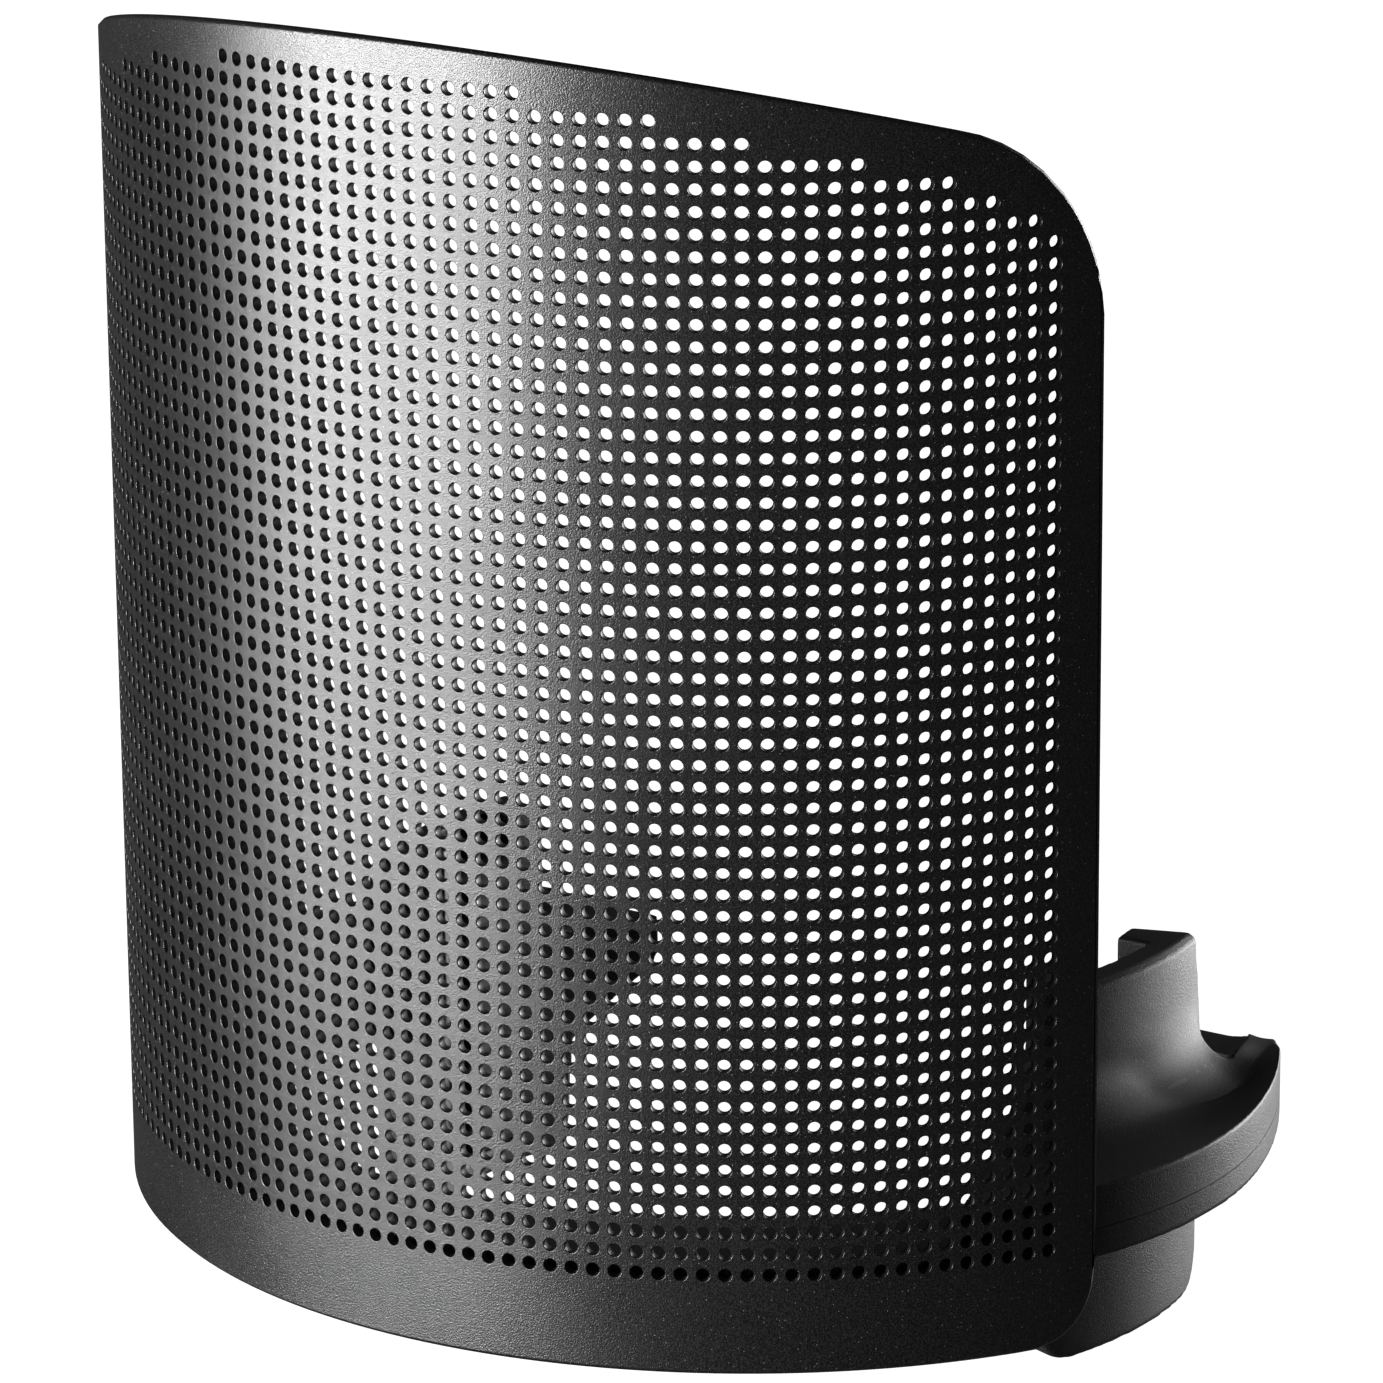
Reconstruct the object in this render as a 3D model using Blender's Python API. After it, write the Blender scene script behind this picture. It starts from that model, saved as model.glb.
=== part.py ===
"""Clip-on metal pop screen for a side-address studio microphone.

Frame: +X is the part's right side, -Y is the side the performer faces, +Z is up.
The origin lies on the microphone's axis, at the height where the upper and lower mouldings meet.
Angles are in degrees, counted round a vertical axis from the front (-Y) towards +X.
"""
import math

import bmesh
import bpy
from mathutils import Matrix

MM = 0.001

# Clip round the microphone: lips, tower walls and their heights
BORE_RADIUS = 27.2 * MM
TOWER_WALL = 5.3 * MM
TOWER_DRAFT = 0.4 * MM
TOWER_HEIGHT = 11.85 * MM
TOWER_EDGE = 0.5 * MM
TOWER_FRONT_INNER = 73.0
TOWER_FRONT_OUTER = 66.5
TOWER_REAR_INNER = 101.0
TOWER_REAR_OUTER = 102.4
NOTCH_RADIUS = 3.5 * MM
NOTCH_REACH = 4.0 * MM

# Perforated screen: one sheet, rolled to a part cylinder in front of the clip
SCREEN_STANDOFF = 19.05 * MM
SCREEN_SHEET = 0.8 * MM
SCREEN_HALF_ANGLE = 65.04
SCREEN_TOP = 83.7 * MM
SCREEN_DROP = 7.5 * MM
SCREEN_TOP_SLOPE = 17.3
SCREEN_TOP_CORNER = 10.0 * MM
SCREEN_BOTTOM_CORNER = 5.0 * MM
SCREEN_AXIS_FORWARD = 4.4 * MM

# Openings in the screen: a coarse grid of round ones, with the open share of the fine punched holes
OPENING_COLUMNS = 12
OPENING_SHARE = 0.37
OPENING_SIDES = 12
SIDE_MARGIN = 3.0 * MM
LOW_MARGIN = 6.5 * MM
TOP_MARGIN = 2.0 * MM

# Flange: two mouldings that meet at height zero, the upper one dished between tower and rim
FLANGE_UPPER = 3.15 * MM
FLANGE_LOWER = 2.25 * MM
RIM_CENTRE_X = 9.0 * MM
RIM_CENTRE_FORWARD = 6.6 * MM
RIM_TURN = 106.0
REAR_CORNER_OUT = 0.7 * MM
DISH_FRONT = 2.7 * MM
DISH_REAR = 1.2 * MM
COVE_FRONT = 5.5 * MM
COVE_REAR = 3.2 * MM
DISH_FALL_START = -20.0 * MM
DISH_FALL_END = 8.0 * MM
LIP_FALL_LENGTH = 8.2 * MM
WING_SLANT = 22.0
BRIDGE_WIDTH = 7.7 * MM
FORM_START = 30.0

# Rear jaws and the skirts below the flange
JAW_END = 124.0
JAW_DEPTH = 3.0 * MM
GUSSET_DEPTH = 8.0 * MM
SKIRT_WALL = 4.3 * MM
SKIRT_DROP = 16.6 * MM
SKIRT_FRONT = 69.0
SKIRT_REAR = 107.5
SKIRT_CORNER = 3.0 * MM
SKIRT_STEP = 0.25 * MM

# Grip pads in the recesses between the lips
PAD_START = 77.0
PAD_END = 95.5
PAD_RECESS = 2.6 * MM
PAD_PROUD = 1.2 * MM
PAD_TOP = 9.2 * MM
PAD_DROP = 14.5 * MM

# Steel brackets that hold the screen's plain bottom margin to the bridge
BRACKET_SHEET = 0.9 * MM
BRACKET_WIDTH = 7.0 * MM
BRACKET_LEG = 4.0 * MM
BRACKET_FOOT = 6.2 * MM
BRACKET_ANGLES = {"left": -36.0, "centre": 0.0, "right": 36.0}

# Screws, all of one size
SCREW_RADIUS = 0.9 * MM
SCREW_HEAD_RADIUS = 1.7 * MM
SCREW_HEAD_HEIGHT = 1.1 * MM
SCREW_CROWN_RADIUS = 1.0 * MM
SCREW_BITE = 1.6 * MM
BRIDGE_SKIN = 0.5 * MM
BRACKET_SCREW_INSET = 4.2 * MM
CHEEK_SCREW_INSET = 5.5 * MM
CHEEK_SCREW_ANGLES = {"front": 64.0, "rear": 84.0}

# Gaps between pieces that touch
CLEARANCE = 0.3 * MM
PARTING_GAP = 0.25 * MM

# Facets: one turn in degrees for each kind of curve
COARSE_STEP = 4.0
FINE_STEP = 2.5
CORNER_STEPS = 6
SCREW_SIDES = 16
SMOOTH_LIMIT = 30.0

# Lengths by which cutting shapes run past what they cut
PAST = 8.0 * MM
FAR_PAST = 40.0 * MM

# Sizes that follow from those above
CLIP_CENTRE = (0.0, 0.0)
SCREEN_CENTRE = (0.0, -SCREEN_AXIS_FORWARD)
SCREEN_RADIUS = BORE_RADIUS + SCREEN_STANDOFF
SCREEN_INNER = SCREEN_RADIUS - SCREEN_SHEET
SCREEN_HALF_ARC = SCREEN_RADIUS * math.radians(SCREEN_HALF_ANGLE)
OPENING_PITCH = 2 * (SCREEN_HALF_ARC - SIDE_MARGIN) / OPENING_COLUMNS
OPENING_RADIUS = OPENING_PITCH * math.sqrt(OPENING_SHARE / math.pi)
TOWER_RADIUS = BORE_RADIUS + TOWER_WALL
SKIRT_RADIUS = BORE_RADIUS + SKIRT_WALL
PAD_SEAT_RADIUS = BORE_RADIUS + PAD_RECESS
PAD_FACE_RADIUS = BORE_RADIUS - PAD_PROUD
FLANGE_REAR = -BORE_RADIUS * math.cos(math.radians(JAW_END))
REAR_CORNER_X = TOWER_RADIUS + REAR_CORNER_OUT
DISH_FALL = (DISH_FALL_START, DISH_FALL_END)
LIP_FALL = (FLANGE_REAR - LIP_FALL_LENGTH, FLANGE_REAR)
SEAT_RADIUS = SCREEN_INNER - CLEARANCE
RIM_CENTRE = (RIM_CENTRE_X, SCREEN_CENTRE[1] - RIM_CENTRE_FORWARD)
RIM_RADIUS = SEAT_RADIUS - math.hypot(RIM_CENTRE_X, RIM_CENTRE_FORWARD)
RIM_START = math.degrees(math.atan2(RIM_CENTRE_X, RIM_CENTRE_FORWARD))
BRIDGE_INNER = SEAT_RADIUS - BRIDGE_WIDTH
UPPER_LOW = PARTING_GAP / 2
LOWER_TOP = -PARTING_GAP / 2


def polar(radius, angle, centre=CLIP_CENTRE):
    """Point at an angle from the front, on a circle about centre."""
    turn = math.radians(angle)
    return (centre[0] + radius * math.sin(turn), centre[1] - radius * math.cos(turn))


def steps(start, end, step=COARSE_STEP):
    """Angles from start to end, both included, no further apart than step."""
    count = max(1, math.ceil(abs(end - start) / step))
    return [start + (end - start) * i / count for i in range(count + 1)]


def arc(radius, start, end, centre=CLIP_CENTRE, step=COARSE_STEP):
    """Points along an arc, both ends included."""
    return [polar(radius, angle, centre) for angle in steps(start, end, step)]


def line_meets_circle(start, direction, radius, centre):
    """First point ahead of start where a line crosses a circle that it starts inside."""
    from_centre = (start[0] - centre[0], start[1] - centre[1])
    along = from_centre[0] * direction[0] + from_centre[1] * direction[1]
    squared = from_centre[0] ** 2 + from_centre[1] ** 2 - radius ** 2
    reach = -along + math.sqrt(along * along - squared)
    return (start[0] + reach * direction[0], start[1] + reach * direction[1])


def angle_of(spot, centre):
    """Angle from the front of a point seen from centre."""
    return math.degrees(math.atan2(spot[0] - centre[0], centre[1] - spot[1]))


def solid(name, verts, faces):
    """Mesh object with its faces turned outwards."""
    mesh = bpy.data.meshes.new(name)
    mesh.from_pydata(verts, [], faces)
    shape = bmesh.new()
    shape.from_mesh(mesh)
    bmesh.ops.recalc_face_normals(shape, faces=shape.faces)
    shape.to_mesh(mesh)
    shape.free()
    piece = bpy.data.objects.new(name, mesh)
    bpy.context.scene.collection.objects.link(piece)
    return piece


def prism(name, outline, low, high):
    """Upright solid over a plan outline."""
    count = len(outline)
    verts = [(x, y, low) for x, y in outline] + [(x, y, high) for x, y in outline]
    faces = [tuple(range(count)), tuple(range(count, 2 * count))]
    faces += [(i, (i + 1) % count, (i + 1) % count + count, i + count) for i in range(count)]
    return solid(name, verts, faces)


def lofted(name, sections, centre=CLIP_CENTRE):
    """Part ring through closed (radius, height) sections, one at each angle."""
    size = len(sections[0][1])
    verts = []
    for angle, section in sections:
        verts += [(*polar(radius, angle, centre), height) for radius, height in section]
    last = len(verts) - size
    faces = [tuple(range(size)), tuple(range(last, last + size))]
    for i in range(0, last, size):
        for j in range(size):
            k = (j + 1) % size
            faces.append((i + j, i + k, i + size + k, i + size + j))
    return solid(name, verts, faces)


def swept(name, profile, start, end, centre=CLIP_CENTRE, step=COARSE_STEP):
    """Part ring of one section all the way round."""
    return lofted(name, [(angle, profile) for angle in steps(start, end, step)], centre)


def curved_plate(name, columns, inner, outer, centre):
    """Plate bent round an upright axis, from columns of (angle, low edge, high edge)."""
    verts = []
    for angle, low, high in columns:
        near = polar(inner, angle, centre)
        far = polar(outer, angle, centre)
        verts += [(*near, low), (*near, high), (*far, high), (*far, low)]
    last = 4 * (len(columns) - 1)
    faces = [(0, 1, 2, 3), (last, last + 1, last + 2, last + 3)]
    for i in range(0, last, 4):
        for j in range(4):
            k = (j + 1) % 4
            faces.append((i + j, i + k, i + 4 + k, i + 4 + j))
    return solid(name, verts, faces)


def combine(piece, tool, operation):
    """Apply a boolean to piece and remove the tool."""
    modifier = piece.modifiers.new(operation, "BOOLEAN")
    modifier.operation = operation
    modifier.solver = "EXACT"
    modifier.object = tool
    graph = bpy.context.evaluated_depsgraph_get()
    shape = bpy.data.meshes.new_from_object(piece.evaluated_get(graph))
    piece.modifiers.clear()
    piece.data = shape
    bpy.data.objects.remove(tool)
    return piece


def mirrored(piece, name):
    """Copy of a right-hand piece, reflected to the left side."""
    shape = bmesh.new()
    shape.from_mesh(piece.data)
    bmesh.ops.transform(shape, matrix=Matrix.Scale(-1, 4, (1, 0, 0)), verts=shape.verts)
    bmesh.ops.reverse_faces(shape, faces=shape.faces)
    mesh = bpy.data.meshes.new(name)
    shape.to_mesh(mesh)
    shape.free()
    copy = bpy.data.objects.new(name, mesh)
    bpy.context.scene.collection.objects.link(copy)
    return copy


def post(name, spot, radius, low, high):
    """Upright round bar."""
    return prism(name, arc(radius, 0, 360 - 360 / SCREW_SIDES, spot, 360 / SCREW_SIDES), low, high)


def finish(name, colour, roughness, metallic):
    """Plain finish for a piece."""
    material = bpy.data.materials.new(name)
    material.use_nodes = True
    shader = material.node_tree.nodes["Principled BSDF"]
    shader.inputs["Base Color"].default_value = (*colour, 1.0)
    shader.inputs["Roughness"].default_value = roughness
    shader.inputs["Metallic"].default_value = metallic
    return material


def dress(piece, material):
    """Give a piece its finish and smooth shading with crisp edges."""
    piece.data.materials.clear()
    piece.data.materials.append(material)
    piece.data.shade_smooth()
    piece.data.set_sharp_from_angle(angle=math.radians(SMOOTH_LIMIT))


def corner_drop(distance, radius):
    """How far a rounded corner falls back, at a distance in from the side edge."""
    if distance >= radius:
        return 0.0
    return radius - math.sqrt(max(0.0, radius ** 2 - (radius - distance) ** 2))


def screen_edges(along):
    """Low and high edge of the screen at an arc length from its middle: a level and an arched one."""
    setback = SCREEN_RADIUS * (1 - math.cos(along / SCREEN_RADIUS))
    arch = SCREEN_TOP - setback * math.tan(math.radians(SCREEN_TOP_SLOPE))
    edge = SCREEN_HALF_ARC - abs(along)
    low = -SCREEN_DROP + corner_drop(edge, SCREEN_BOTTOM_CORNER)
    return low, arch - corner_drop(edge, SCREEN_TOP_CORNER)


def screen_columns():
    """Columns of the screen, closer together at its rounded corners."""
    half = SCREEN_HALF_ARC
    inset = max(SCREEN_TOP_CORNER, SCREEN_BOTTOM_CORNER)
    corner = [half - inset * (1 - math.sin(math.pi / 2 * i / (2 * CORNER_STEPS)))
              for i in range(2 * CORNER_STEPS + 1)]
    count = math.ceil(SCREEN_HALF_ANGLE / COARSE_STEP)
    middle = [(half - inset) * i / count for i in range(-count + 1, count)]
    places = [-s for s in reversed(corner)] + middle + corner
    return [(math.degrees(along / SCREEN_RADIUS), *screen_edges(along)) for along in places]


def opening_spots():
    """Arc length and height of each opening that fits below the screen's top edge."""
    spots = []
    for column in range(OPENING_COLUMNS):
        along = (column + 0.5 - OPENING_COLUMNS / 2) * OPENING_PITCH
        _, top = screen_edges(abs(along) + OPENING_RADIUS)
        height = -SCREEN_DROP + LOW_MARGIN + OPENING_PITCH / 2
        while height + OPENING_RADIUS + TOP_MARGIN < top:
            spots.append((along, height))
            height += OPENING_PITCH
    return spots


def opening_bars():
    """Round bars that cut the openings, each square to the sheet."""
    verts, faces = [], []
    for along, height in opening_spots():
        turn = along / SCREEN_RADIUS
        first = len(verts)
        for radius in (SCREEN_INNER - PAST, SCREEN_RADIUS + PAST):
            x, y = polar(radius, math.degrees(turn), SCREEN_CENTRE)
            for i in range(OPENING_SIDES):
                across = OPENING_RADIUS * math.cos(2 * math.pi * i / OPENING_SIDES)
                up = OPENING_RADIUS * math.sin(2 * math.pi * i / OPENING_SIDES)
                verts.append((x + across * math.cos(turn), y + across * math.sin(turn), height + up))
        near = list(range(first, first + OPENING_SIDES))
        far = list(range(first + OPENING_SIDES, first + 2 * OPENING_SIDES))
        faces += [near, far]
        for i in range(OPENING_SIDES):
            k = (i + 1) % OPENING_SIDES
            faces.append((near[i], near[k], far[k], far[i]))
    return solid("opening_bars", verts, faces)


def wing_front():
    """Where the straight front edge of a wing leaves the bore, and its direction."""
    turn = math.radians(WING_SLANT)
    return polar(BORE_RADIUS, TOWER_FRONT_INNER), (math.sin(turn), -math.cos(turn))


def rim_outline():
    """Outer edge of a wing: the rim's arc, then a flatter arc to the rear corner."""
    turn = polar(RIM_RADIUS, RIM_TURN, RIM_CENTRE)
    out = polar(1.0, RIM_TURN)
    chord = (REAR_CORNER_X - turn[0], FLANGE_REAR - turn[1])
    fall = -(out[0] * chord[0] + out[1] * chord[1])
    radius = (chord[0] ** 2 + chord[1] ** 2) / (2 * fall)
    centre = (turn[0] - radius * out[0], turn[1] - radius * out[1])
    end = angle_of((REAR_CORNER_X, FLANGE_REAR), centre)
    front = arc(RIM_RADIUS, RIM_START, RIM_TURN, RIM_CENTRE, FINE_STEP)
    return front[:-1] + arc(radius, RIM_TURN, end, centre, FINE_STEP)


def rim_spot(angle):
    """Point of the rim, or of its arc run on, in a direction from the bore's axis."""
    outline = arc(RIM_RADIUS, 0.0, RIM_START, RIM_CENTRE, FINE_STEP)[:-1] + rim_outline()
    for near, far in zip(outline, outline[1:]):
        if angle_of(near, CLIP_CENTRE) <= angle <= angle_of(far, CLIP_CENTRE):
            turn = math.radians(angle)
            away = (math.cos(turn), math.sin(turn))
            start = near[0] * away[0] + near[1] * away[1]
            end = far[0] * away[0] + far[1] * away[1]
            part = start / (start - end)
            return (near[0] + (far[0] - near[0]) * part, near[1] + (far[1] - near[1]) * part)
    return outline[-1]


def cheek_outline():
    """Plan of an upper moulding: screen seat, rim, rear edge, bore and front edge."""
    start, direction = wing_front()
    tip = line_meets_circle(start, direction, SEAT_RADIUS, SCREEN_CENTRE)
    tip_angle = angle_of(tip, SCREEN_CENTRE)
    outline = arc(SEAT_RADIUS, tip_angle, RIM_START, SCREEN_CENTRE, FINE_STEP)[:-1]
    return outline + rim_outline() + arc(BORE_RADIUS, JAW_END, TOWER_FRONT_INNER)


def cradle_outline():
    """Plan of the lower moulding: both wings and the bridge behind the screen."""
    start, direction = wing_front()
    inner = line_meets_circle(start, direction, BRIDGE_INNER, SCREEN_CENTRE)
    inner_angle = angle_of(inner, SCREEN_CENTRE)
    side = rim_outline() + arc(BORE_RADIUS, JAW_END, TOWER_FRONT_INNER)
    other_side = [(-x, y) for x, y in reversed(side)]
    outer = arc(SEAT_RADIUS, -RIM_START, RIM_START, SCREEN_CENTRE)[1:-1]
    return side + arc(BRIDGE_INNER, inner_angle, -inner_angle, SCREEN_CENTRE) + other_side + outer


def eased(value, limits, start, end):
    """Blend from start to end as value passes between two limits."""
    part = min(1.0, max(0.0, (value - limits[0]) / (limits[1] - limits[0])))
    return start + (end - start) * part * part * (3 - 2 * part)


def cheek_section(angle):
    """Section of tower, cove, dished flange and rim lip, as (radius, height) at one angle."""
    inner = BORE_RADIUS - PAST
    outer = SCREEN_RADIUS + PAST
    rim = rim_spot(angle)
    rim_radius = math.hypot(*rim)
    cove = eased(rim[1], DISH_FALL, COVE_FRONT, COVE_REAR)
    foot = TOWER_RADIUS + cove
    floor = eased(rim[1], DISH_FALL, DISH_FRONT, DISH_REAR)
    lip = eased(rim[1], LIP_FALL, FLANGE_UPPER, DISH_REAR)
    section = [(inner, UPPER_LOW), (outer, UPPER_LOW), (outer, lip)]
    for i in range(CORNER_STEPS + 1):
        part = 1 - i / CORNER_STEPS
        section.append((foot + (rim_radius - foot) * part, floor + (lip - floor) * part * part))
    for i in range(1, CORNER_STEPS + 1):
        turn = math.pi / 2 * i / CORNER_STEPS
        section.append((foot - cove * math.sin(turn), floor + cove * (1 - math.cos(turn))))
    top_radius = TOWER_RADIUS - TOWER_DRAFT
    section.append((top_radius, TOWER_HEIGHT - TOWER_EDGE))
    return section + [(top_radius - TOWER_EDGE, TOWER_HEIGHT), (inner, TOWER_HEIGHT)]


def rounded_cutter(name, inner, outer, reach, floor, side):
    """Block behind the plane through two plan points, its lower edges rounded."""
    along = (outer[0] - inner[0], outer[1] - inner[1])
    length = math.hypot(*along)
    along = (along[0] / length, along[1] / length)
    away = (-along[1] * side, along[0] * side)
    far = reach + length
    plan = [(-PAST, 0.0), (far, 0.0), (far, FAR_PAST), (-PAST, FAR_PAST)]
    outline = [(inner[0] + u * along[0] + v * away[0], inner[1] + u * along[1] + v * away[1])
               for u, v in plan]
    block = prism(name, outline, floor, TOWER_HEIGHT + PAST)
    shape = bmesh.new()
    shape.from_mesh(block.data)
    low_edges = [edge for edge in shape.edges if all(abs(v.co.z - floor) < CLEARANCE for v in edge.verts)]
    bmesh.ops.bevel(shape, geom=low_edges, offset=NOTCH_RADIUS, segments=CORNER_STEPS,
                    profile=0.5, affect="EDGES")
    shape.to_mesh(block.data)
    shape.free()
    return block


def pad_recess(name):
    """Space for a grip pad and the slot above it, open to the bore."""
    low = -PAD_DROP
    high = TOWER_HEIGHT + PAST
    inner = BORE_RADIUS - PAST
    profile = [(inner, low), (PAD_SEAT_RADIUS, low), (PAD_SEAT_RADIUS, high), (inner, high)]
    return swept(name, profile, PAD_START, PAD_END, step=FINE_STEP)


def cheek_screw_spots():
    """Plan places of the screws that pull one cheek down on the cradle."""
    radius = RIM_RADIUS - CHEEK_SCREW_INSET
    return {place: polar(radius, angle, RIM_CENTRE) for place, angle in CHEEK_SCREW_ANGLES.items()}


def bracket_screw_spots():
    """Plan places of the screws that hold the screen brackets to the bridge."""
    radius = SEAT_RADIUS - BRACKET_SCREW_INSET
    return {side: polar(radius, angle, SCREEN_CENTRE) for side, angle in BRACKET_ANGLES.items()}


def make_screen():
    """The rolled sheet, with its arched top, rounded corners and grid of openings."""
    plate = curved_plate("perforated_screen", screen_columns(), SCREEN_INNER, SCREEN_RADIUS, SCREEN_CENTRE)
    return combine(plate, opening_bars(), "DIFFERENCE")


def make_right_cheek():
    """Upper moulding: tower, cove and flange on one side of the microphone."""
    cheek = prism("right_cheek", cheek_outline(), UPPER_LOW - PAST, TOWER_HEIGHT + PAST)
    sections = [(angle, cheek_section(angle)) for angle in steps(FORM_START, JAW_END, FINE_STEP)]
    combine(cheek, lofted("cheek_form", sections), "INTERSECT")
    front = rounded_cutter("front_cutter", polar(BORE_RADIUS, TOWER_FRONT_INNER),
                           polar(TOWER_RADIUS, TOWER_FRONT_OUTER), PAST, FLANGE_UPPER, -1)
    combine(cheek, front, "DIFFERENCE")
    rear = rounded_cutter("rear_cutter", polar(BORE_RADIUS, TOWER_REAR_INNER),
                          polar(TOWER_RADIUS, TOWER_REAR_OUTER), NOTCH_REACH, DISH_REAR, 1)
    combine(cheek, rear, "DIFFERENCE")
    combine(cheek, pad_recess("cheek_recess"), "DIFFERENCE")
    for spot in cheek_screw_spots().values():
        top = UPPER_LOW + SCREW_BITE + CLEARANCE
        hole = post("cheek_hole", spot, SCREW_RADIUS + CLEARANCE, -PAST, top)
        combine(cheek, hole, "DIFFERENCE")
    return cheek


def skirt_columns():
    """Columns of a skirt and of the gusset that carries the jaw."""
    start = -FLANGE_LOWER + PARTING_GAP
    radius = SKIRT_RADIUS
    corner = math.degrees(SKIRT_CORNER / radius)
    step = math.degrees(SKIRT_STEP / radius)
    columns = []
    for i in range(CORNER_STEPS + 1):
        part = 1 - math.cos(math.pi / 2 * i / CORNER_STEPS)
        fall = corner_drop(part * SKIRT_CORNER, SKIRT_CORNER)
        columns.append((SKIRT_FRONT + part * corner, -SKIRT_DROP + fall, start))
    count = math.ceil((SKIRT_REAR - SKIRT_FRONT - 2 * corner) / COARSE_STEP)
    for i in range(1, count):
        angle = SKIRT_FRONT + corner + (SKIRT_REAR - SKIRT_FRONT - 2 * corner) * i / count
        columns.append((angle, -SKIRT_DROP, start))
    for i in range(CORNER_STEPS, -1, -1):
        part = 1 - math.cos(math.pi / 2 * i / CORNER_STEPS)
        fall = corner_drop(part * SKIRT_CORNER, SKIRT_CORNER)
        columns.append((SKIRT_REAR - part * corner, -SKIRT_DROP + fall, start))
    count = math.ceil((JAW_END - SKIRT_REAR) / COARSE_STEP)
    for i in range(count + 1):
        part = i / count
        angle = SKIRT_REAR + step + (JAW_END - SKIRT_REAR - 2 * step) * part
        columns.append((angle, -GUSSET_DEPTH + (GUSSET_DEPTH - JAW_DEPTH) * part, start))
    return columns


def make_cradle():
    """Lower moulding: bridge, both lower wings, skirts and jaws in one piece."""
    cradle = prism("cradle", cradle_outline(), -FLANGE_LOWER, LOWER_TOP)
    wall = BORE_RADIUS + CLEARANCE
    for side in (1, -1):
        skirt = curved_plate("skirt", skirt_columns(), wall, SKIRT_RADIUS, CLIP_CENTRE)
        behind = [(0.0, FLANGE_REAR), (FAR_PAST, FLANGE_REAR), (FAR_PAST, FAR_PAST), (0.0, FAR_PAST)]
        combine(skirt, prism("rear_cutter", behind, -FAR_PAST, FAR_PAST), "DIFFERENCE")
        tools = [(skirt, "UNION"), (pad_recess("recess"), "DIFFERENCE")]
        for spot in cheek_screw_spots().values():
            tools.append((post("hole", spot, SCREW_RADIUS + CLEARANCE, -PAST, PAST), "DIFFERENCE"))
        for tool, operation in tools:
            if side < 0:
                flipped = mirrored(tool, tool.name + "_left")
                bpy.data.objects.remove(tool)
                tool = flipped
            combine(cradle, tool, operation)
    for spot in bracket_screw_spots().values():
        hole = post("bracket_hole", spot, SCREW_RADIUS + CLEARANCE, -PAST, LOWER_TOP - BRIDGE_SKIN)
        combine(cradle, hole, "DIFFERENCE")
    return cradle


def make_right_pad():
    """Rubber pad that fills the recess and stands proud of the lips."""
    slack = math.degrees(CLEARANCE / PAD_FACE_RADIUS)
    back = PAD_SEAT_RADIUS - CLEARANCE
    low = -PAD_DROP + CLEARANCE
    profile = [(PAD_FACE_RADIUS, low), (back, low), (back, PAD_TOP), (PAD_FACE_RADIUS, PAD_TOP)]
    return swept("right_grip_pad", profile, PAD_START + slack, PAD_END - slack, step=FINE_STEP)


def make_bracket(side, angle):
    """Bent steel bracket: one leg on the screen's margin, one foot under the bridge."""
    top = -FLANGE_LOWER - CLEARANCE
    foot = top - BRACKET_SHEET
    low = foot - BRACKET_LEG
    inner = SEAT_RADIUS - BRACKET_FOOT
    leg = SEAT_RADIUS - BRACKET_SHEET
    profile = [(inner, foot), (leg, foot), (leg, low), (SEAT_RADIUS, low), (SEAT_RADIUS, top), (inner, top)]
    half = math.degrees(BRACKET_WIDTH / 2 / SEAT_RADIUS)
    bracket = swept("screen_bracket_" + side, profile, angle - half, angle + half, SCREEN_CENTRE)
    spot = polar(SEAT_RADIUS - BRACKET_SCREW_INSET, angle, SCREEN_CENTRE)
    hole = post("foot_hole", spot, SCREW_RADIUS + CLEARANCE, low - PAST, top + PAST)
    return combine(bracket, hole, "DIFFERENCE")


def make_screw(name, spot, seat, tip):
    """Pan-head screw with its head under a seat height and its tip above."""
    head_top = seat - CLEARANCE
    head_low = head_top - SCREW_HEAD_HEIGHT
    profile = [(SCREW_CROWN_RADIUS, head_low), (SCREW_HEAD_RADIUS, head_low + SCREW_HEAD_HEIGHT / 2),
               (SCREW_HEAD_RADIUS, head_top), (SCREW_RADIUS, head_top), (SCREW_RADIUS, tip)]
    rings = [arc(radius, 0, 360 - 360 / SCREW_SIDES, spot, 360 / SCREW_SIDES) for radius, _ in profile]
    verts = [(x, y, height) for ring, (_, height) in zip(rings, profile) for x, y in ring]
    last = SCREW_SIDES * (len(profile) - 1)
    faces = [tuple(range(SCREW_SIDES)), tuple(range(last, last + SCREW_SIDES))]
    for i in range(len(profile) - 1):
        for j in range(SCREW_SIDES):
            k = (j + 1) % SCREW_SIDES
            low = i * SCREW_SIDES
            faces.append((low + j, low + k, low + SCREW_SIDES + k, low + SCREW_SIDES + j))
    return solid(name, verts, faces)


def make_cheek_screws():
    """Four screws from below, two into each cheek."""
    screws = []
    for place, (x, y) in cheek_screw_spots().items():
        for side, sign in (("right", 1), ("left", -1)):
            name = "cheek_screw_" + side + "_" + place
            screws.append(make_screw(name, (sign * x, y), -FLANGE_LOWER, UPPER_LOW + SCREW_BITE))
    return screws


def make_bracket_screws():
    """One screw from below through each bracket foot into the bridge."""
    seat = -FLANGE_LOWER - CLEARANCE - BRACKET_SHEET
    tip = LOWER_TOP - BRIDGE_SKIN - CLEARANCE
    return [make_screw("bracket_screw_" + side, spot, seat, tip)
            for side, spot in bracket_screw_spots().items()]


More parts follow.
